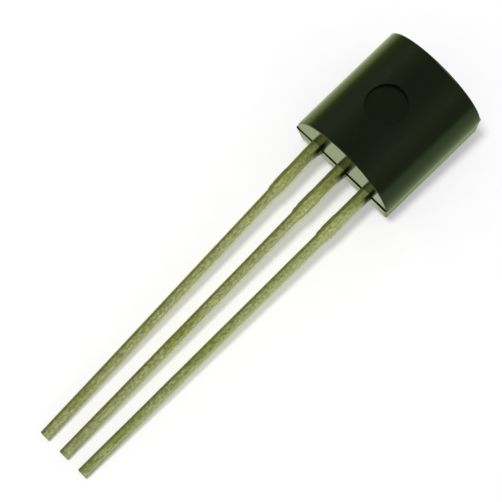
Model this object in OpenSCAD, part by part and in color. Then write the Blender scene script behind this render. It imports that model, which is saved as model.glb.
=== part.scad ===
// Three-lead transistor in a D-shaped epoxy moulding.
// It lies round side up, as it comes to rest: on the near edge of its flat and on its three lead tips.
// +Y runs from the lead tips to the moulding, +X across the leads, +Z up. Millimetres.

/* [Moulding] */
// Radius of the round side, measured from the lead plane
body_r = 2.3; // [2.15:0.01:2.4]
// Length of the moulding along the leads
body_len = 4.9; // [4.6:0.1:5.3]
// Depth of the flat below the lead plane
flat_depth = 1.3; // [1.1:0.05:1.5]
// Slope of the round half's end faces, in degrees
end_draft = 1.2; // [0.5:0.1:3]
// Slope of the flat half's end faces, in degrees
flat_end_draft = 5; // [2:0.5:7]
// Slope of the flat half's sides, in degrees
side_draft = 5; // [3:0.5:10]
// Ledge by which the flat half stands proud of the round half at each end
end_step = 0.04; // [0.02:0.01:0.1]
// The same ledge along each side
side_step = 0.02; // [0.01:0.01:0.06]

/* [Ejector mark and gate] */
// Diameter of the ejector pin mark on the crown
eject_d = 1.5; // [1.1:0.1:1.8]
// Depth of the mark at the crown
eject_depth = 0.16; // [0.1:0.01:0.22]
// Width of the broken gate on the far end
gate_w = 0.9; // [0.6:0.1:1.3]
// Thickness of the gate, down from the lead plane
gate_t = 0.25; // [0.15:0.05:0.4]
// How far the gate's stub stands out
gate_stub = 0.06; // [0.03:0.01:0.1]

/* [Leads] */
// Length of the leads outside the moulding
lead_len = 14.5; // [12.7:0.1:15.5]
// Distance between the leads where they leave the moulding
lead_pitch = 1.27; // [1.22:0.01:1.32]
// Width of the lead
lead_w = 0.4; // [0.36:0.01:0.46]
// Thickness of the lead
lead_t = 0.4; // [0.36:0.01:0.44]
// Radius of the lead's long edges
lead_edge = 0.07; // [0.03:0.01:0.12]
// Square length of lead beside the moulding, before it leans
lean_start = 0.35; // [0.2:0.05:0.8]
// Sideways offset of the left lead's tip, by which the lead leans
left_tip_offset = 0.74; // [0.4:0.02:0.9]
// The same for the middle lead
middle_tip_offset = 0.45; // [0.2:0.05:0.6]
// The same for the right lead
right_tip_offset = 0.14; // [0:0.02:0.4]

/* [Shoulder and dam bar] */
// Width of the shoulder next to the moulding
shoulder_w = 0.5; // [0.47:0.01:0.53]
// Length of the shoulder
shoulder_len = 2.4; // [2.25:0.05:2.7]
// Length of the taper from the shoulder to the lead
shoulder_taper = 0.14; // [0.08:0.02:0.3]
// Width across the stubs left by the cut dam bar
dam_w = 0.54; // [0.54:0.01:0.62]
// Length of the dam bar stubs along the lead
dam_len = 0.6; // [0.4:0.05:0.7]
// Distance from the moulding to the middle of the stubs
dam_at = 1.75; // [1.5:0.05:1.85]
// Length of the slope at each end of a stub
dam_ease = 0.06; // [0.04:0.01:0.1]

/* [Inside: paddle and posts] */
// How far the round-edged lead reaches into the moulding
root_in = 0.25; // [0.15:0.05:0.4]
// Width of the paddle that carries the die
paddle_w = 1.6; // [1.4:0.05:1.65]
// Length of the paddle
paddle_len = 1.9; // [1.6:0.1:2]
// Distance from the near end of the moulding to the paddle and the posts
paddle_at = 1.9; // [1.6:0.1:2.1]
// Cut across each corner of the paddle
paddle_corner = 0.2; // [0.1:0.05:0.3]
// Gap between the paddle and each post
post_gap = 0.25; // [0.2:0.01:0.3]
// Width of a bond post
post_w = 0.75; // [0.6:0.05:0.8]
// Length of a bond post
post_len = 1.3; // [1.2:0.05:1.6]
// Radius of the notches that lock a lead in the moulding
lock_r = 0.1; // [0.06:0.01:0.12]
// Distance from the near end of the moulding to the notches
lock_at = 0.9; // [0.7:0.05:1.2]

/* [Inside: die and wires] */
// Side of the square die
die_w = 0.55; // [0.35:0.05:0.8]
// Thickness of the die
die_t = 0.2; // [0.15:0.01:0.28]
// Diameter of the bond wires
wire_d = 0.05; // [0.04:0.005:0.06]
// Diameter of the ball and of the stitch at a wire's ends
ball_d = 0.12; // [0.1:0.01:0.14]
// Height of the ball and of the stitch
ball_h = 0.03; // [0.02:0.005:0.04]
// Upright length of wire above the ball
wire_neck = 0.05; // [0.03:0.01:0.1]

/* [Hidden] */
$fn = 96;
cut_over = 0.5; // how far a cutter runs past what it cuts
edge_steps = 3; // flats round a quarter of a lead's edge

// The flat half, which stands proud by its ledges
flat_half_w = body_r + side_step;
flat_far = body_len + end_step;
flat_foot = -end_step + flat_depth * tan(flat_end_draft); // near edge of the flat, where it stands

// How it lies: tilted until the near edge of the flat and the lead tips touch the floor
pitch = atan2(flat_depth - lead_t / 2, lead_len + flat_foot);
rest_z = flat_depth * cos(pitch) - flat_foot * sin(pitch);
back_y = -lead_len * cos(pitch) - lead_t / 2 * sin(pitch);
front_y = max(
    (flat_far - flat_depth * tan(flat_end_draft)) * cos(pitch) + flat_depth * sin(pitch),
    (flat_far + gate_stub) * cos(pitch) + gate_t * sin(pitch)
);

// Inside
post_x = paddle_w / 2 + post_gap + post_w / 2;
die_y = paddle_at + paddle_len / 2;
die_top = lead_t / 2 + die_t;
bond_x = die_w / 4; // where a wire meets the die, either side of its middle
loop_z = die_top + ball_h + wire_neck;
loop_r = (post_x - bond_x) / 2;

// Half width of the lead at each station along it, from inside the moulding to the tip
stations = [
    [root_in, shoulder_w],
    [-lean_start, shoulder_w],
    [-(dam_at - dam_len / 2 - dam_ease), shoulder_w],
    [-(dam_at - dam_len / 2), dam_w],
    [-(dam_at + dam_len / 2), dam_w],
    [-(dam_at + dam_len / 2 + dam_ease), shoulder_w],
    [-shoulder_len, shoulder_w],
    [-(shoulder_len + shoulder_taper), lead_w],
    [-lead_len, lead_w]
];

// Section of a lead: a rectangle with round corners, as [x, z] points
function bar_section(w) = [
    for (corner = [[1, 1, 0], [-1, 1, 90], [-1, -1, 180], [1, -1, 270]])
        for (k = [0 : edge_steps])
            let (a = corner[2] + 90 * k / edge_steps)
                [
                    corner[0] * (w / 2 - lead_edge) + lead_edge * cos(a),
                    corner[1] * (lead_t / 2 - lead_edge) + lead_edge * sin(a)
                ]
];

// Sideways place of a lead's middle line at y
function lead_x(root_x, tip_offset, y) =
    root_x + tip_offset * max(0, -y - lean_start) / (lead_len - lean_start);

// Tilts a piece from the lead plane to how it lies, centred on its box
module lay() {
    translate([0, -(back_y + front_y) / 2, rest_z])
        rotate([pitch, 0, 0])
            children();
}

// Extrudes an outline drawn as [y, z] across the full width
module across(w) {
    translate([-w / 2, 0, 0])
        rotate([90, 0, 90])
            linear_extrude(w) children();
}

// Extrudes an outline drawn as [x, z] from y0 to y1
module along(y0, y1) {
    translate([0, y1, 0])
        rotate([90, 0, 0])
            linear_extrude(y1 - y0) children();
}

// Round half: a half cylinder between two sloping ends
module round_half() {
    rise = body_r + cut_over;
    lean = rise * tan(end_draft);
    intersection() {
        rotate([-90, 0, 0]) cylinder(h = body_len, r = body_r);
        across(2 * body_r + 2 * cut_over)
            polygon([[0, 0], [body_len, 0], [body_len - lean, rise], [lean, rise]]);
    }
}

// Flat half: straight sides and ends that taper to the flat
module flat_half() {
    side_in = flat_depth * tan(side_draft);
    end_in = flat_depth * tan(flat_end_draft);
    intersection() {
        along(-cut_over, flat_far + cut_over)
            polygon([
                [-flat_half_w, 0],
                [-flat_half_w + side_in, -flat_depth],
                [flat_half_w - side_in, -flat_depth],
                [flat_half_w, 0]
            ]);
        across(2 * flat_half_w + 2 * cut_over)
            polygon([
                [-end_step, 0],
                [-end_step + end_in, -flat_depth],
                [flat_far - end_in, -flat_depth],
                [flat_far, 0]
            ]);
    }
}

// Stub where the moulding was broken from its runner
module gate() {
    translate([-gate_w / 2, body_len - cut_over, -gate_t])
        cube([gate_w, flat_far + gate_stub - body_len + cut_over, gate_t]);
}

// Shallow round recess at the middle of the crown
module ejector_mark() {
    translate([0, body_len / 2, body_r - eject_depth])
        cylinder(h = eject_depth + cut_over, d = eject_d);
}

// Lead outside the moulding, lofted through its stations
module lead_bar(root_x, tip_offset) {
    n = 4 * (edge_steps + 1);
    last = len(stations) - 1;
    points = [
        for (s = stations)
            for (p = bar_section(s[1]))
                [lead_x(root_x, tip_offset, s[0]) + p[0], s[0], p[1]]
    ];
    sides = [
        for (i = [0 : last - 1])
            for (j = [0 : n - 1])
                let (k = (j + 1) % n)
                    [i * n + j, (i + 1) * n + j, (i + 1) * n + k, i * n + k]
    ];
    root_cap = [for (j = [0 : n - 1]) j];
    tip_cap = [for (j = [n - 1 : -1 : 0]) last * n + j];
    polyhedron(points, concat(sides, [root_cap, tip_cap]));
}

// Flat stamping inside the moulding, from an outline drawn as [x, y]
module stamping() {
    translate([0, 0, -lead_t / 2])
        linear_extrude(lead_t) children();
}

// Strip from the root of a lead to its head, with a lock notch on each edge
module root_strip(x, reach) {
    difference() {
        translate([x - shoulder_w / 2, root_in]) square([shoulder_w, reach - root_in]);
        for (side = [-1, 1])
            translate([x + side * shoulder_w / 2, lock_at]) circle(r = lock_r);
    }
}

module post_lead(side, tip_offset) {
    lead_bar(side * lead_pitch, tip_offset);
    stamping() {
        root_strip(side * lead_pitch, paddle_at + post_w / 2);
        translate([side * post_x - post_w / 2, paddle_at]) square([post_w, post_len]);
    }
}

module paddle_lead() {
    half = paddle_w / 2;
    far = paddle_at + paddle_len;
    lead_bar(0, middle_tip_offset);
    stamping() {
        root_strip(0, paddle_at + paddle_corner);
        polygon([
            [-half + paddle_corner, paddle_at],
            [half - paddle_corner, paddle_at],
            [half, paddle_at + paddle_corner],
            [half, far - paddle_corner],
            [half - paddle_corner, far],
            [-half + paddle_corner, far],
            [-half, far - paddle_corner],
            [-half, paddle_at + paddle_corner]
        ]);
    }
}

module die() {
    translate([-die_w / 2, die_y - die_w / 2, lead_t / 2])
        cube([die_w, die_w, die_t]);
}

// Wire from the die to a post: a ball, a half circle of wire, an upright leg and a stitch
module bond_wire(side) {
    translate([0, die_y, 0]) {
        translate([side * bond_x, 0, die_top]) {
            cylinder(h = ball_h, d = ball_d);
            cylinder(h = ball_h + wire_neck, d = wire_d);
        }
        translate([side * (bond_x + loop_r), 0, loop_z])
            rotate([90, 0, 0])
                rotate_extrude(angle = 180)
                    translate([loop_r, 0]) circle(d = wire_d);
        translate([side * post_x, 0, lead_t / 2]) {
            cylinder(h = ball_h, d = ball_d);
            cylinder(h = loop_z - lead_t / 2, d = wire_d);
        }
    }
}

module moulded_body() {
    color([0.11, 0.12, 0.1])
        lay()
            difference() {
                union() {
                    round_half();
                    flat_half();
                    gate();
                }
                ejector_mark();
                post_lead(-1, left_tip_offset);
                paddle_lead();
                post_lead(1, right_tip_offset);
                die();
                bond_wire(-1);
                bond_wire(1);
            }
}

module left_lead() {
    color([0.6, 0.62, 0.42])
        lay() post_lead(-1, left_tip_offset);
}

module middle_lead() {
    color([0.6, 0.62, 0.42])
        lay() paddle_lead();
}

module right_lead() {
    color([0.6, 0.62, 0.42])
        lay() post_lead(1, right_tip_offset);
}

module silicon_die() {
    color([0.3, 0.32, 0.38])
        lay() die();
}

module left_bond_wire() {
    color([0.83, 0.68, 0.3])
        lay() bond_wire(-1);
}

module right_bond_wire() {
    color([0.83, 0.68, 0.3])
        lay() bond_wire(1);
}

moulded_body();
left_lead();
middle_lead();
right_lead();
silicon_die();
left_bond_wire();
right_bond_wire();
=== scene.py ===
import math
import random

import bmesh
import bpy
from mathutils import Matrix, Vector


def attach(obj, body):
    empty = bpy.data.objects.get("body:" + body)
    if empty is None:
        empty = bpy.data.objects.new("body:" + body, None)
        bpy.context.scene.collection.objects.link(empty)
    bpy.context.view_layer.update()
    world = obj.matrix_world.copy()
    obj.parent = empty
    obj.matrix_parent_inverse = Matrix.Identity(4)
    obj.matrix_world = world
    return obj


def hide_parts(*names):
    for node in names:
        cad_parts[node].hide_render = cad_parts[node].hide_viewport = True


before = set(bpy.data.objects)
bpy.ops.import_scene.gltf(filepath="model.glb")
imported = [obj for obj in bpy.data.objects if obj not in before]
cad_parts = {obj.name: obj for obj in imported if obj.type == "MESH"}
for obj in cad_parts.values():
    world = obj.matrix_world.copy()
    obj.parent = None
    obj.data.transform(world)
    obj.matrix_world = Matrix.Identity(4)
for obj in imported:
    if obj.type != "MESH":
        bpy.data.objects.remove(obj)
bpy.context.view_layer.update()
scene = bpy.context.scene
scene.view_settings.view_transform = "Standard"
print("frame: %d nodes" % len(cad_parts))

# Pieces are modelled in millimetres about the middle of the near face, on the lead plane:
# x across the leads, y into the moulding, z towards the round side. layDown brings them to rest.
lying = {
    "slope": math.radians(4.316401),
    "nearFace": (0, 4.734646, 1.290763),
    "unit": 0.001,
}
# What tells edges and faces apart: millimetres, how straight they run or face, and radians.
limits = {"near": 0.001, "straight": 0.9, "sharp": 1.0, "creased": 0.6}
cleaning = {"mergeWithin": 0.0005, "normalWeight": 80}  # a weight over 50 favours large faces
noiseSpan = (0.3, 0.7)  # nearly all of a noise lies between these


def dropSelection():
    if bpy.context.mode != "OBJECT":
        bpy.ops.object.mode_set(mode="OBJECT")
    bpy.ops.object.select_all(action="DESELECT")


def workOn(piece, mode="OBJECT"):
    dropSelection()
    piece.select_set(True)
    bpy.context.view_layer.objects.active = piece
    bpy.ops.object.mode_set(mode=mode)


def namePiece(name):
    piece = bpy.context.active_object
    piece.name = piece.data.name = name
    bpy.ops.object.transform_apply(location=True, rotation=True, scale=True)
    return piece


# A block about its middle, open for shaping.
def startBlock(name, place, sides):
    dropSelection()
    bpy.ops.mesh.primitive_cube_add(size=1, location=place, scale=sides)
    piece = namePiece(name)
    workOn(piece, "EDIT")
    return piece


# A cylinder about its middle, open for shaping.
def startCylinder(name, place, radius, depth, sides, turn=(0, 0, 0)):
    dropSelection()
    bpy.ops.mesh.primitive_cylinder_add(
        vertices=sides, radius=radius, depth=depth, location=place, rotation=turn,
    )
    piece = namePiece(name)
    workOn(piece, "EDIT")
    return piece


# Selects the verts, edges or faces that pass the test, and nothing else.
def pick(piece, kind, test):
    mesh = bmesh.from_edit_mesh(piece.data)
    for part in list(mesh.verts) + list(mesh.edges) + list(mesh.faces):
        part.select_set(False)
    for part in [part for part in getattr(mesh, kind) if test(part)]:
        part.select_set(True)
    bmesh.update_edit_mesh(piece.data)


def middle(edge):
    return (edge.verts[0].co + edge.verts[1].co) / 2


def runsAlong(edge, axis):
    run = edge.verts[0].co - edge.verts[1].co
    return abs(run[axis]) > limits["straight"] * run.length


def looksAlong(face, axis, way=1):
    return face.normal[axis] * way > limits["straight"]


def isSharp(edge, least=limits["sharp"]):
    return edge.calc_face_angle(0) > least


# Rounds the selected edges, given their width and number of steps.
def roundOff(rounding):
    width, steps = rounding
    bpy.ops.mesh.bevel(offset=width, segments=steps, affect="EDGES")


def applyModifier(piece, kind, **values):
    workOn(piece)
    made = piece.modifiers.new(kind.title(), kind)
    for key, value in values.items():
        setattr(made, key, value)
    bpy.ops.object.modifier_apply(modifier=made.name)


def combine(piece, other, operation):
    applyModifier(piece, "BOOLEAN", object=other, operation=operation, solver="EXACT")
    bpy.data.objects.remove(other)


def smooth(piece, angle):
    workOn(piece, "EDIT")
    bpy.ops.mesh.select_all(action="SELECT")
    bpy.ops.mesh.remove_doubles(threshold=cleaning["mergeWithin"])
    bpy.ops.mesh.normals_make_consistent(inside=False)
    workOn(piece)
    bpy.ops.object.shade_smooth_by_angle(angle=math.radians(angle))
    applyModifier(piece, "WEIGHTED_NORMAL", keep_sharp=True, weight=cleaning["normalWeight"])


def layDown(piece):
    workOn(piece)
    piece.scale = (lying["unit"],) * 3
    piece.rotation_euler = (lying["slope"], 0, 0)
    piece.location = Vector(lying["nearFace"]) * lying["unit"]
    bpy.ops.object.transform_apply(location=True, rotation=True, scale=True)
    dropSelection()


# Adds a shader node. Each feed is a socket to link or a plain value.
def addNode(tree, kind, feeds=None, **settings):
    made = tree.nodes.new("ShaderNode" + kind)
    for key, value in settings.items():
        setattr(made, key, value)
    feed(tree, made, feeds or {})
    return made


def feed(tree, node, feeds):
    for key, source in feeds.items():
        if isinstance(source, bpy.types.NodeSocket):
            tree.links.new(source, node.inputs[key])
        else:
            node.inputs[key].default_value = source


def mapRange(tree, value, low, high, toLow=0.0, toHigh=1.0):
    feeds = {"Value": value, "From Min": low, "From Max": high, "To Min": toLow, "To Max": toHigh}
    return addNode(tree, "MapRange", feeds, interpolation_type="SMOOTHSTEP").outputs[0]


def calculate(tree, operation, *values):
    return addNode(tree, "Math", dict(enumerate(values)), operation=operation).outputs[0]


def multiply(tree, first, second):
    return calculate(tree, "MULTIPLY", first, second)


# The x, y or z of a place or a normal.
def partOf(tree, vector, axis):
    return addNode(tree, "SeparateXYZ", {0: vector}).outputs[axis]


def addNoise(tree, place, scale, detail, rough=0.5, bend=0.0):
    feeds = {
        "Vector": place, "Scale": scale, "Detail": detail, "Roughness": rough, "Distortion": bend,
    }
    return addNode(tree, "TexNoise", feeds).outputs[0]


# Inputs 6 and 7 and output 2 are the Mix node's colours.
def mixColours(tree, share, first, second, blend="MIX"):
    feeds = {0: share, 6: first, 7: second}
    return addNode(tree, "Mix", feeds, data_type="RGBA", blend_type=blend).outputs[2]


# Lays a plain colour over another where the mask is 1.
def layOver(tree, colour, mask, over):
    return mixColours(tree, mask, colour, (*over, 1))


# The second shader where the mask is 1, the first where it is 0.
def mixShaders(tree, mask, first, second):
    return addNode(tree, "MixShader", {0: mask, 1: first.outputs[0], 2: second.outputs[0]})


# A ramp from [(position, colour), ...], whose first and last are the ramp's own two marks.
def addRamp(tree, value, stops):
    made = addNode(tree, "ValToRGB", {"Fac": value})
    marks = made.color_ramp.elements
    for i, (position, colour) in enumerate(stops):
        if 0 < i < len(stops) - 1:
            mark = marks.new(position)
        else:
            mark = marks[-1 if i else 0]
        mark.position, mark.color = position, colour
    return made.outputs["Color"]


# Degrees round the object and above the floor, and millimetres from the near face.
camera = {
    "around": 45.5, "above": 72.0,
    "away": 110, "aside": 3.301, "below": 2.973,
    "lens": 216.46, "sensor": 36,
    "clip": (0.005, 3),  # metres
}


def makeCamera():
    around, above = math.radians(camera["around"]), math.radians(camera["above"])
    ahead = Vector((
        -math.sin(around) * math.cos(above),
        math.cos(around) * math.cos(above),
        -math.sin(above),
    ))
    right = Vector((math.cos(around), math.sin(around), 0))
    up = right.cross(ahead)
    place = Vector(lying["nearFace"]) - ahead * camera["away"]
    place = place - right * camera["aside"] - up * camera["below"]
    bpy.ops.object.camera_add(location=place * lying["unit"])
    made = bpy.context.active_object
    made.name = "mainCamera"
    made.rotation_euler = Matrix((right, up, -ahead)).transposed().to_euler()
    made.data.lens = camera["lens"]
    made.data.sensor_width = camera["sensor"]
    made.data.clip_start, made.data.clip_end = camera["clip"]
    scene.camera = made


light = {
    "keyFrom": (-0.10, -0.16, 1), "keyAway": 0.3, "keyStrength": 1.9, "keyAngle": 12,
    "room": 0.45,
    "window": (0.25, 0.68, 0.69), "windowStrength": 2.6, "windowSpread": (28, 10),
    # the room as gloss sees it: (height, strength, share of the blue) from the horizon upwards
    "glossTint": (0.90, 1.0, 0.62),
    "glossRoom": [(0, 0.31, 0.7), (0.55, 0.5, 1), (0.95, 0.25, 1)],
}


def makeKeyLight():
    source = Vector(light["keyFrom"])
    bpy.ops.object.light_add(type="SUN", location=source * light["keyAway"])
    key = bpy.context.active_object
    key.name = "keyLight"
    key.rotation_euler = source.to_track_quat("Z", "Y").to_euler()
    key.data.energy = light["keyStrength"]
    key.data.angle = math.radians(light["keyAngle"])
    key.visible_glossy = False  # no hot streak along the moulding's crown


def makeRoom():
    world = bpy.data.worlds.new("studio")
    scene.world = world
    world.use_nodes = True
    tree = world.node_tree
    tree.nodes.clear()
    path = addNode(tree, "LightPath").outputs
    place = addNode(tree, "TexCoord").outputs["Generated"]

    red, green, blue = light["glossTint"]
    stops = [
        (height, (red * strength, green * strength, blue * strength * share, 1))
        for height, strength, share in light["glossRoom"]
    ]
    room = addRamp(tree, partOf(tree, place, "Z"), stops)
    towards = {0: place, 1: Vector(light["window"]).normalized()}
    facing = addNode(tree, "VectorMath", towards, operation="DOT_PRODUCT").outputs["Value"]
    wide, narrow = (math.cos(math.radians(angle)) for angle in light["windowSpread"])
    window = mapRange(tree, facing, wide, narrow, 0, light["windowStrength"])
    seen = addNode(tree, "VectorMath", {0: room, 1: window}, operation="ADD").outputs[0]

    gloss = addNode(tree, "Background", {"Color": seen})
    soft = addNode(tree, "Background", {"Color": (1, 1, 1, 1), "Strength": light["room"]})
    white = addNode(tree, "Background", {"Color": (1, 1, 1, 1)})
    lit = mixShaders(tree, path["Is Glossy Ray"], soft, gloss)
    whole = mixShaders(tree, path["Is Camera Ray"], lit, white)
    addNode(tree, "OutputWorld", {"Surface": whole.outputs[0]})


# The floor. Lift is how far it is raised to white before the camera. Gloss sees a painted
# reflection of it: a painted pool of light near the object, dimmer far off, with painted shade
# close by on the right and under the moulding.
paper = {
    "size": 4, "colour": (0.99, 0.99, 0.99), "lift": 0.33,
    "grain": 900, "grainDetail": 4, "grainTone": (0.985, 1.0),
    # where the object lies and how far from it the painted pool of light starts and stops fading,
    # in metres
    "middle": (0, 0.005, 0), "edge": (0.007, 0.018), "far": 0.36,
    # the moulding's footprint, in millimetres, where painted shade dims the paper's reflection
    "underFrom": (-2.6, 4.62), "underTo": (2.75, 9.9), "underEdge": 0.12, "under": 0.62,
    # (x, strength, red, blue) in millimetres and shares of the strength, from left to right; the
    # dip near 3.0 is painted shade beside the moulding
    "across": [
        (-10, 1.0, 0.84, 0.30), (-4, 1.15, 0.9, 0.60), (0.9, 1.15, 0.9, 0.62),
        (1.5, 1.42, 0.91, 0.68), (2.2, 0.9, 0.84, 0.56), (3.0, 0.63, 0.74, 0.52),
        (10, 0.92, 0.66, 0.48),
    ],
}


# Painted shade: 1 on the open paper, less where the moulding stands over it.
def paintedShadeUnderMoulding(tree, place):
    unit, edge = lying["unit"], paper["underEdge"] * lying["unit"]
    covered = 1.0
    for axis, low, high in zip("XY", paper["underFrom"], paper["underTo"]):
        along = partOf(tree, place, axis)
        begins = mapRange(tree, along, low * unit - edge, low * unit + edge)
        ends = mapRange(tree, along, high * unit + edge, high * unit - edge)
        covered = multiply(tree, multiply(tree, covered, begins), ends)
    return mapRange(tree, covered, 0.0, 1.0, 1.0, paper["under"])


# The paper as gloss sees it, a painted reflection: its colour and painted shade across the leads,
# its strength, a painted pool of light, away from the object.
def addPaintedPaperReflection(tree, place):
    unit = lying["unit"]
    low, high = paper["across"][0][0], paper["across"][-1][0]
    reach = {"Value": partOf(tree, place, "X"), "From Min": low * unit, "From Max": high * unit}
    share = addNode(tree, "MapRange", reach).outputs[0]
    stops = [
        ((x - low) / (high - low), (power * red, power, power * blue, 1))
        for x, power, red, blue in paper["across"]
    ]
    away = addNode(tree, "VectorMath", {0: place, 1: paper["middle"]}, operation="DISTANCE")
    fade = mapRange(tree, away.outputs["Value"], *paper["edge"], 1, paper["far"])
    strength = multiply(tree, fade, paintedShadeUnderMoulding(tree, place))
    return addNode(tree, "Emission", {"Color": addRamp(tree, share, stops), "Strength": strength})


def makeFloor():
    dropSelection()
    bpy.ops.mesh.primitive_plane_add(size=paper["size"], location=(0, 0, 0))
    floor = namePiece("floor")
    paint = bpy.data.materials.new("palePaper")
    paint.use_nodes = True
    tree = paint.node_tree
    tree.nodes.clear()
    path = addNode(tree, "LightPath").outputs
    place = addNode(tree, "TexCoord").outputs["Object"]
    grain = addNoise(tree, place, paper["grain"], paper["grainDetail"])
    tone = mapRange(tree, grain, *noiseSpan, *paper["grainTone"])
    colour = mixColours(tree, 1, (*paper["colour"], 1), tone, "MULTIPLY")
    matte = addNode(tree, "BsdfDiffuse", {"Color": colour})
    white = addNode(tree, "Emission")
    lift = multiply(tree, path["Is Camera Ray"], paper["lift"])
    lifted = mixShaders(tree, lift, matte, white)
    whole = mixShaders(tree, path["Is Glossy Ray"], lifted, addPaintedPaperReflection(tree, place))
    addNode(tree, "OutputMaterial", {"Surface": whole.outputs[0]})
    floor.data.materials.append(paint)


# Drafts and smoothUnder are in degrees. A rounding is a width and a number of steps.
moulding = {
    "radius": 2.3, "length": 4.9, "overlap": 0.05, "roundSides": 192, "endDraft": 1.2,
    "flatDepth": 1.3, "flatEndDraft": 5, "sideDraft": 5,
    "endStep": 0.03, "leftStep": 0.03, "rightStep": 0.004, "skew": 0.013,
    "edge": (0.08, 4), "flatEdge": (0.035, 4), "corner": (0.09, 4), "smoothUnder": 35,
}


def makeRoundHalf():
    size = moulding
    piece = startCylinder(
        "mouldedBody", (0, size["length"] / 2, 0), size["radius"], size["length"],
        size["roundSides"], (math.pi / 2, 0, 0),
    )
    slope = math.radians(size["endDraft"])
    cuts = [
        ((0, 0, -size["overlap"]), (0, 0, 1)),
        ((0, 0, 0), (0, math.cos(slope), -math.sin(slope))),
        ((0, size["length"], 0), (0, -math.cos(slope), -math.sin(slope))),
    ]
    for place, along in cuts:
        bpy.ops.mesh.select_all(action="SELECT")
        bpy.ops.mesh.bisect(plane_co=place, plane_no=along, use_fill=True, clear_inner=True)
    # soften the rim round each end, but not the edges of its foot inside the flat half
    foot = limits["near"] - size["overlap"]
    pick(piece, "edges", lambda e: middle(e).z > foot and isSharp(e))
    roundOff(size["edge"])
    return piece


def makeFlatHalf():
    size = moulding
    low, high = -size["radius"] - size["leftStep"], size["radius"] + size["rightStep"]
    wide, long, deep = high - low, size["length"] + size["endStep"] * 2, size["flatDepth"]
    place = ((low + high) / 2, size["length"] / 2, -deep / 2)
    piece = startBlock("flatHalf", place, (wide, long, deep))
    pick(piece, "faces", lambda f: looksAlong(f, 2, -1))
    sideIn = deep * math.tan(math.radians(size["sideDraft"]))
    endIn = deep * math.tan(math.radians(size["flatEndDraft"]))
    bpy.ops.transform.resize(value=(1 - 2 * sideIn / wide, 1 - 2 * endIn / long, 1))
    # the mould's halves meet a little askew, so the near ledge widens to the right
    pick(piece, "verts", lambda v: v.co.x > 0 and v.co.y < long / 2)
    bpy.ops.transform.translate(value=(0, -size["skew"], 0))
    pick(piece, "edges", lambda e: middle(e).x > 0 and runsAlong(e, 2))
    roundOff(size["corner"])
    near, creased = limits["near"], limits["creased"]
    pick(piece, "edges", lambda e: middle(e).z < -near and isSharp(e, creased))
    roundOff(size["flatEdge"])
    return piece


# The stub where the moulding broke from its runner.
gate = {
    "wide": 0.9, "thick": 0.25, "root": 0.5, "out": 0.06, "rise": 0.015,
    "cuts": 7, "sunk": 0.005, "rough": 0.012, "seed": 6,
}


def makeGate():
    size = gate
    start = moulding["length"] - size["root"]
    end = moulding["length"] + moulding["endStep"] + size["out"]
    place = (0, (start + end) / 2, size["rise"] - size["thick"] / 2)
    piece = startBlock("gateStub", place, (size["wide"], end - start, size["thick"]))
    pick(piece, "faces", lambda f: looksAlong(f, 1))
    bpy.ops.mesh.subdivide(number_cuts=size["cuts"])
    bpy.ops.mesh.quads_convert_to_tris()
    # its end is rough, all but the rim, so that the sides stay flat
    pick(piece, "verts", lambda v: all(looksAlong(f, 1) for f in v.link_faces))
    bpy.ops.transform.translate(value=(0, -size["sunk"], 0))
    bpy.ops.transform.vertex_random(offset=size["rough"], seed=size["seed"])
    return piece


# Moulding flash in the corner on the right of a lead's root, as wide as that lead says; the dark
# web also stands in for the shade that falls there. It thins along the lead and up its side, by
# the share of its width that thin gives.
flash = {"high": 0.26, "long": 0.24, "root": 0.2, "lap": 0.01, "thin": 0.9}


def makeFlash(place):
    size = flash
    start = place["at"] + lead["shoulderWide"] / 2 - size["lap"]
    wide, long = place["flash"] + size["lap"], size["root"] + size["long"]
    centre = (start + wide / 2, (size["root"] - size["long"]) / 2, 0)
    piece = startBlock("flash", centre, (wide, long, size["high"]))
    pick(piece, "verts", lambda v: v.co.x > start + wide / 2 and (v.co.y < 0 or v.co.z > 0))
    bpy.ops.transform.translate(value=(-size["thin"] * wide, 0, 0))
    return piece


# The ejector pin's flat-bottomed mark. Flare is how far its walls lean, across and along the
# moulding, and over is how far its cutter stands above the crown.
pinMark = {
    "at": (-0.06, 2.4), "across": 1.62, "deep": 0.3, "flare": (0.02, 0.03),
    "sides": 88, "over": 0.5,
}


def makeMark():
    size = pinMark
    bottom, half = moulding["radius"] - size["deep"], size["across"] / 2
    place = (*size["at"], bottom + size["deep"] / 2)
    piece = startCylinder("ejectorMark", place, half, size["deep"], size["sides"])
    pick(piece, "verts", lambda v: v.co.z < bottom + limits["near"])
    across, along = size["flare"]
    bpy.ops.transform.resize(value=(1 - across / half, 1 - along / half, 1))
    pick(piece, "faces", lambda f: looksAlong(f, 2))
    bpy.ops.mesh.extrude_region_move(TRANSFORM_OT_translate={"value": (0, 0, size["over"])})
    return piece


def makeMoulding():
    body = makeRoundHalf()
    combine(body, makeFlatHalf(), "UNION")
    combine(body, makeGate(), "UNION")
    combine(body, makeMark(), "DIFFERENCE")
    for place in leads.values():
        combine(body, makeFlash(place), "UNION")
    smooth(body, moulding["smoothUnder"])
    layDown(body)
    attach(body, "root")
    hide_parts("moulded_body")
    return body


# Places along a lead are millimetres from the near face. A rounding is a width and its steps.
lead = {
    "wide": 0.415, "thick": 0.4, "long": 14.5, "leansFrom": 0.35,
    "shoulderWide": 0.5, "shoulderLong": 2.3, "taper": 0.14, "root": 0.25,
    "stubWide": 0.53, "stubLong": 0.6, "stubAt": 1.75, "stubEase": 0.06,
    "topEdge": (0.15, 5), "lowEdge": (0.05, 3), "tipEdge": (0.03, 3), "smoothUnder": 40,
    "notch": 0.1, "notchAt": 0.9, "notchTurns": (-90, -45, 0, 45, 90),
    "headAt": 1.9, "headStep": 0.02,
    "shankSteps": 9, "drift": 0.2, "wobble": 0.006,
}
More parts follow.
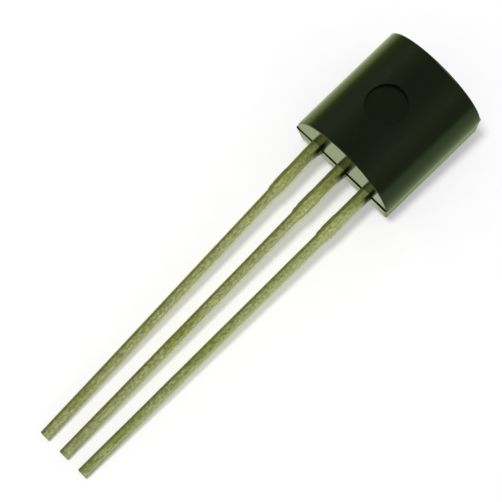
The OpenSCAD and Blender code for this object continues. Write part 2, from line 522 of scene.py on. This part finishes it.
# Where each lead stands, how far its tip is offset to the right, and how wide its flash is.
leads = {
    "leftLead": {
        "at": -1.27, "offset": 0.74, "flash": 0.14, "node": "left_lead", "head": "post",
    },
    "middleLead": {
        "at": 0.0, "offset": 0.45, "flash": 0.08, "node": "middle_lead", "head": "paddle",
    },
    "rightLead": {
        "at": 1.27, "offset": 0.14, "flash": 0.05, "node": "right_lead", "head": "post",
    },
}


# Widths along a lead from its tip to its root, as [(y, width), ...].
def shankRows(draw):
    size = lead
    stub, half, ease = size["stubAt"], size["stubLong"] / 2, size["stubEase"]
    drift, wobble = size["drift"], size["wobble"]
    start = size["shoulderLong"] + size["taper"]
    rows = [(-size["long"], size["wide"])]
    for step in range(1, size["shankSteps"]):
        y = -size["long"] + (size["long"] - start) * step / size["shankSteps"]
        rows.append((y + draw.uniform(-drift, drift), size["wide"] + draw.uniform(-1, 1) * wobble))
    rows += [
        (-start, size["wide"]), (-size["shoulderLong"], size["shoulderWide"]),
        (-stub - half - ease, size["shoulderWide"]), (-stub - half, size["stubWide"]),
        (-stub + half, size["stubWide"]), (-stub + half + ease, size["shoulderWide"]),
        (-size["leansFrom"], size["shoulderWide"]), (size["root"], size["shoulderWide"]),
    ]
    return rows


post = {"wide": 0.75, "long": 1.3, "gap": 0.25}
paddle = {"wide": 1.6, "long": 1.9, "corner": 0.2}


# The head as [(y, low x, high x), ...]: a paddle in the middle, or a post on the lead's side.
def headRows(place):
    start, step, half = lead["headAt"], lead["headStep"], lead["shoulderWide"] / 2
    if place["head"] == "paddle":
        wide, cut, end = paddle["wide"] / 2, paddle["corner"], start + paddle["long"]
        return [
            (start, -half, half), (start + step, -wide + cut, wide - cut),
            (start + cut, -wide, wide), (end - cut, -wide, wide), (end, -wide + cut, wide - cut),
        ]
    side = math.copysign(1, place["at"])
    inner, outer = abs(place["at"]) - half, abs(place["at"]) + half
    near = paddle["wide"] / 2 + post["gap"]
    far = near + post["wide"]
    bend = post["wide"] / 2
    steps = [
        (0, inner, outer), (step, inner, far), (bend, inner, far),
        (bend + step, near, far), (post["long"], near, far),
    ]
    return [(start + y, *sorted((side * a, side * b))) for y, a, b in steps]


# The whole lead as [(y, low x, high x), ...] from its tip to its head inside the moulding.
def leadRows(place, draw):
    size = lead
    rows = []
    for y, wide in shankRows(draw):
        run = max(0, -y - size["leansFrom"])
        shift = place["offset"] * run / (size["long"] - size["leansFrom"])
        rows.append((y, place["at"] + shift - wide / 2, place["at"] + shift + wide / 2))
    for angle in map(math.radians, size["notchTurns"]):
        y = size["notchAt"] + size["notch"] * math.sin(angle)
        inward = size["shoulderWide"] / 2 - size["notch"] * math.cos(angle)
        rows.append((y, place["at"] - inward, place["at"] + inward))
    return rows + headRows(place)


def makeLead(name, place, seed):
    size = lead
    rows = leadRows(place, random.Random(seed))
    tip, low, high = rows[0]
    wasY, wasLow, wasHigh = rows[1][0], low, high
    centre = ((low + high) / 2, (tip + wasY) / 2, 0)
    piece = startBlock(name, centre, (high - low, wasY - tip, size["thick"]))
    # the section first: rolled over on top, sharper below
    pick(piece, "edges", lambda e: runsAlong(e, 1) and middle(e).z > 0)
    roundOff(size["topEdge"])
    foot = limits["near"] - size["thick"] / 2
    pick(piece, "edges", lambda e: runsAlong(e, 1) and middle(e).z < foot)
    roundOff(size["lowEdge"])
    # then each row is drawn out from the one before
    pick(piece, "faces", lambda f: looksAlong(f, 1))
    for y, low, high in rows[1:]:
        if y > wasY:
            onward = {"value": (0, y - wasY, 0)}
            bpy.ops.mesh.extrude_region_move(TRANSFORM_OT_translate=onward)
        aside, wider = (low + high - wasLow - wasHigh) / 2, (high - low) / (wasHigh - wasLow)
        bpy.ops.transform.translate(value=(aside, 0, 0))
        centre = ((low + high) / 2, y, 0)
        bpy.ops.transform.resize(value=(wider, 1, 1), center_override=centre)
        wasY, wasLow, wasHigh = y, low, high
    pick(piece, "edges", lambda e: middle(e).y < tip + limits["near"] and isSharp(e))
    roundOff(size["tipEdge"])
    smooth(piece, size["smoothUnder"])
    layDown(piece)
    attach(piece, "root")
    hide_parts(place["node"])
    return piece


# Starts a node group and returns its tree and its input sockets.
def newGroup(name, inputs, outputs):
    tree = bpy.data.node_groups.new(name, "ShaderNodeTree")
    for label, kind in inputs:
        tree.interface.new_socket(label, in_out="INPUT", socket_type="NodeSocket" + kind)
    for label in outputs:
        tree.interface.new_socket(label, in_out="OUTPUT", socket_type="NodeSocketFloat")
    return tree, tree.nodes.new("NodeGroupInput").outputs


def endGroup(tree, **results):
    feed(tree, tree.nodes.new("NodeGroupOutput"), results)
    return tree


def useGroup(tree, group, **feeds):
    made = tree.nodes.new("ShaderNodeGroup")
    made.node_tree = group
    feed(tree, made, feeds)
    return made.outputs


grainLook = {"detail": 3.0, "rough": 0.6, "closer": 4.0, "fineDetail": 2.0, "fineShare": 0.4}


# Fine grain: Tone for colour and roughness, Height for a bump. Size is grains to the millimetre.
def makeGrain():
    look = grainLook
    wanted = [("Place", "Vector"), ("Size", "Float")]
    tree, given = newGroup("fineGrain", wanted, ["Tone", "Height"])
    coarse = addNoise(tree, given["Place"], given["Size"], look["detail"], look["rough"])
    closer = multiply(tree, given["Size"], look["closer"])
    fine = addNoise(tree, given["Place"], closer, look["fineDetail"])
    tone = mapRange(tree, coarse, *noiseSpan)
    height = calculate(tree, "ADD", coarse, multiply(tree, fine, look["fineShare"]))
    return endGroup(tree, Tone=tone, Height=height)


patchLook = {
    "detail": 5.0, "rough": 0.55, "bend": 0.4,
    "bare": 0.68, "covered": 0.32, "fade": 0.14,
}


# Broad uneven patches. Cover is roughly the share of the surface they take.
def makePatches():
    look = patchLook
    wanted = [("Place", "Vector"), ("Size", "Float"), ("Cover", "Float")]
    tree, given = newGroup("softPatches", wanted, ["Mask"])
    cloud = addNoise(
        tree, given["Place"], given["Size"], look["detail"], look["rough"], look["bend"],
    )
    start = mapRange(tree, given["Cover"], 0.0, 1.0, look["bare"], look["covered"])
    end = calculate(tree, "ADD", start, look["fade"])
    return endGroup(tree, Mask=mapRange(tree, cloud, start, end))


rubLook = {
    "detail": 2.0, "rough": 0.7, "level": 0.5, "thin": 0.018,
    "breakSize": 0.37, "breakDetail": 1.0, "breaks": (0.5, 0.6),
}


# Thin rub marks that follow the way Place is stretched: broken lines where a noise is at level.
def makeRubs():
    look = rubLook
    wanted = [("Place", "Vector"), ("Size", "Float")]
    tree, given = newGroup("rubMarks", wanted, ["Mask"])
    lines = addNoise(tree, given["Place"], given["Size"], look["detail"], look["rough"])
    off = calculate(tree, "ABSOLUTE", calculate(tree, "SUBTRACT", lines, look["level"]))
    thin = mapRange(tree, off, 0.0, look["thin"], 1.0, 0.0)
    wider = multiply(tree, given["Size"], look["breakSize"])
    broken = addNoise(tree, given["Place"], wider, look["breakDetail"])
    return endGroup(tree, Mask=multiply(tree, thin, mapRange(tree, broken, *look["breaks"])))


# Starts a finish: its tree, its shader and the place on the piece in millimetres.
def newFinish(name, metal, ior):
    made = bpy.data.materials.new(name)
    made.use_nodes = True
    tree = made.node_tree
    shader = tree.nodes["Principled BSDF"]
    shader.inputs["Metallic"].default_value = metal
    shader.inputs["IOR"].default_value = ior
    metres = addNode(tree, "TexCoord").outputs["Object"]
    feeds = {0: metres, "Scale": 1 / lying["unit"]}
    place = addNode(tree, "VectorMath", feeds, operation="SCALE").outputs[0]
    return made, tree, shader, place


# Draws a pattern out lengthwise, the more the smaller the share is.
def drawnOut(tree, place, share, shift=0):
    feeds = {"Vector": place, "Location": (shift, 0, 0), "Scale": (1.0, share, 1.0)}
    return addNode(tree, "Mapping", feeds).outputs[0]


# Gives the shader its colour and a roughness between two values, as the grain's tone goes.
def finishSurface(tree, shader, colour, tone, rough):
    roughness = mapRange(tree, tone, 0.0, 1.0, *rough)
    feed(tree, shader, {"Base Color": colour, "Roughness": roughness})


# A bump is its depth in metres and its strength.
def addBump(tree, shader, height, bump):
    depth, strength = bump
    made = addNode(tree, "Bump", {"Height": height, "Distance": depth, "Strength": strength})
    feed(tree, shader, {"Normal": made.outputs[0]})


epoxyLook = {
    "black": (0.0022, 0.0052, 0.0012), "greyed": (0.0036, 0.0056, 0.0026),
    "rub": (0.012, 0.014, 0.009),
    "metal": 0, "ior": 1.4, "rough": (0.13, 0.18), "bump": (0.000002, 0.5), "grainSize": 9.0,
    "patchSize": 0.7, "patchCover": 0.45,
    "rubSize": 2.6, "rubDrawn": 0.15, "rubShare": 0.2,
}


def makeEpoxy(grain, patches, rubs):
    look = epoxyLook
    made, tree, shader, place = newFinish("blackEpoxy", look["metal"], look["ior"])
    speckle = useGroup(tree, grain, Place=place, Size=look["grainSize"])
    feeds = {"Size": look["patchSize"], "Cover": look["patchCover"]}
    cloudy = useGroup(tree, patches, Place=place, **feeds)["Mask"]
    drawn = drawnOut(tree, place, look["rubDrawn"])
    rubbed = useGroup(tree, rubs, Place=drawn, Size=look["rubSize"])["Mask"]
    colour = layOver(tree, (*look["black"], 1), cloudy, look["greyed"])
    colour = layOver(tree, colour, multiply(tree, rubbed, look["rubShare"]), look["rub"])
    finishSurface(tree, shader, colour, speckle["Tone"], look["rough"])
    addBump(tree, shader, speckle["Height"], look["bump"])
    return made


tinLook = {
    # side is painted light on surfaces facing right and also the rub marks' colour; shade is
    # painted shade; the bright right-edge colour is a painted highlight
    "plain": (0.56, 0.585, 0.30), "olive": (0.38, 0.42, 0.105), "brown": (0.42, 0.37, 0.16),
    "side": (0.58, 0.57, 0.47), "shade": (0.30, 0.32, 0.125), "rightEdgeHighlight": (0.90, 0.88, 0.60),
    # root is painted shade on the right side of each lead's root
    "root": (0.03, 0.045, 0.005), "fresh": (0.80, 0.86, 0.34),
    "metal": 0.88, "ior": 1.5, "rough": (0.42, 0.55), "bump": (0.0000012, 0.6),
    "grainSize": 12.0, "grainDrawn": 0.6, "grainTone": (0.78, 1.22),
    "patchDrawn": 0.3, "patchShift": -1.27,
    "oliveSize": 1.6, "oliveCover": 0.5, "oliveShare": 0.8,
    "brownSize": 2.6, "brownCover": 0.3, "brownShare": 0.5,
    "rubSize": 5.0, "rubDrawn": 0.08, "rubShare": 0.15,
    # where along a lead a colour starts and is full, in millimetres before the near face
    "freshAlong": (3.0, 1.8), "freshShare": 0.5,
    "shadeNearMouldingAlong": (1.6, 0.4), "shadeNearMouldingShare": 0.25,
    "rootShadeAlong": (0.55, 0.15),
    # how far the surface faces right, where a colour starts and is full
    "paintedLightFacing": (0.1, 0.95), "paintedShadeFacing": (0.0, -0.2), "rootShadeFacing": (0.15, 0.4),
    "highlightFacing": (0.42, 0.7), "highlightUntil": (0.98, 0.8), "highlightShare": 0.55,
}


def makeTin(grain, patches, rubs):
    look = tinLook
    made, tree, shader, place = newFinish("dullTin", look["metal"], look["ior"])
    grainPlace = drawnOut(tree, place, look["grainDrawn"])
    patchPlace = drawnOut(tree, place, look["patchDrawn"], look["patchShift"])
    rubPlace = drawnOut(tree, place, look["rubDrawn"])
    speckle = useGroup(tree, grain, Place=grainPlace, Size=look["grainSize"])
    rubbed = useGroup(tree, rubs, Place=rubPlace, Size=look["rubSize"])["Mask"]
    toMoulding = partOf(tree, place, "Y")
    facing = partOf(tree, addNode(tree, "NewGeometry").outputs["Normal"], "X")

    def patched(name):
        feeds = {"Size": look[name + "Size"], "Cover": look[name + "Cover"]}
        mask = useGroup(tree, patches, Place=patchPlace, **feeds)["Mask"]
        return multiply(tree, mask, look[name + "Share"])

    def along(name, share=1.0):
        start, end = (lying["nearFace"][1] - before for before in look[name])
        return mapRange(tree, toMoulding, start, end, 0.0, share)

    colour = layOver(tree, (*look["plain"], 1), patched("olive"), look["olive"])
    colour = layOver(tree, colour, along("freshAlong", look["freshShare"]), look["fresh"])
    # painted shade: darker olive towards the moulding, which shades the leads there
    shadedNearMoulding = multiply(tree, along("shadeNearMouldingAlong"), look["shadeNearMouldingShare"])
    colour = layOver(tree, colour, shadedNearMoulding, look["olive"])
    colour = layOver(tree, colour, patched("brown"), look["brown"])
    # painted light and shade: surfaces facing right are painted brighter, those facing left darker
    colour = layOver(tree, colour, mapRange(tree, facing, *look["paintedLightFacing"]), look["side"])
    colour = layOver(tree, colour, mapRange(tree, facing, *look["paintedShadeFacing"]), look["shade"])
    tone = mapRange(tree, speckle["Tone"], 0.0, 1.0, *look["grainTone"])
    colour = mixColours(tree, 1.0, colour, tone, "MULTIPLY")
    colour = layOver(tree, colour, multiply(tree, rubbed, look["rubShare"]), look["side"])
    # painted highlight: a bright band on the edges facing right
    begins, ends = (mapRange(tree, facing, *look[name]) for name in ("highlightFacing", "highlightUntil"))
    rightEdgeHighlight = multiply(tree, multiply(tree, begins, ends), look["highlightShare"])
    colour = layOver(tree, colour, rightEdgeHighlight, look["rightEdgeHighlight"])
    # painted shade on the right side of the root, next to the moulding
    rootShade = multiply(tree, along("rootShadeAlong"), mapRange(tree, facing, *look["rootShadeFacing"]))
    colour = layOver(tree, colour, rootShade, look["root"])
    finishSurface(tree, shader, colour, speckle["Tone"], look["rough"])
    addBump(tree, shader, speckle["Height"], look["bump"])
    return made


siliconLook = {
    "plain": (0.16, 0.17, 0.21), "cell": (0.24, 0.25, 0.30), "cells": 8.0, "gap": 0.02,
    "metal": 0.7, "ior": 3.5, "rough": (0.15, 0.3), "grainSize": 20.0,
}


def makeSilicon(grain):
    look = siliconLook
    made, tree, shader, place = newFinish("silicon", look["metal"], look["ior"])
    cells = addNode(tree, "TexBrick", {
        "Vector": place, "Scale": look["cells"], "Mortar Size": look["gap"],
        "Color1": (*look["plain"], 1), "Color2": (*look["cell"], 1),
    })
    speckle = useGroup(tree, grain, Place=place, Size=look["grainSize"])
    finishSurface(tree, shader, cells.outputs["Color"], speckle["Tone"], look["rough"])
    return made


goldLook = {
    "bright": (0.83, 0.62, 0.25), "drawn": (0.70, 0.48, 0.16),
    "metal": 1, "ior": 1.5, "rough": (0.2, 0.32), "grainSize": 25.0,
}


def makeGold(grain):
    look = goldLook
    made, tree, shader, place = newFinish("goldWire", look["metal"], look["ior"])
    speckle = useGroup(tree, grain, Place=place, Size=look["grainSize"])
    colour = layOver(tree, (*look["bright"], 1), speckle["Tone"], look["drawn"])
    finishSurface(tree, shader, colour, speckle["Tone"], look["rough"])
    return made


makeCamera()
makeKeyLight()
makeRoom()
makeFloor()
print("camera, light and floor done")

grain, patches, rubs = makeGrain(), makePatches(), makeRubs()
makeMoulding().data.materials.append(makeEpoxy(grain, patches, rubs))
print("moulding done")

tin = makeTin(grain, patches, rubs)
for seed, (name, place) in enumerate(leads.items()):
    makeLead(name, place, seed).data.materials.append(tin)
print("leads done")

inside = {"silicon_die": makeSilicon(grain)}
inside["left_bond_wire"] = inside["right_bond_wire"] = makeGold(grain)
for node, finish in inside.items():
    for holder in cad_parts[node].material_slots:
        holder.material = finish
print("die and wires finished")
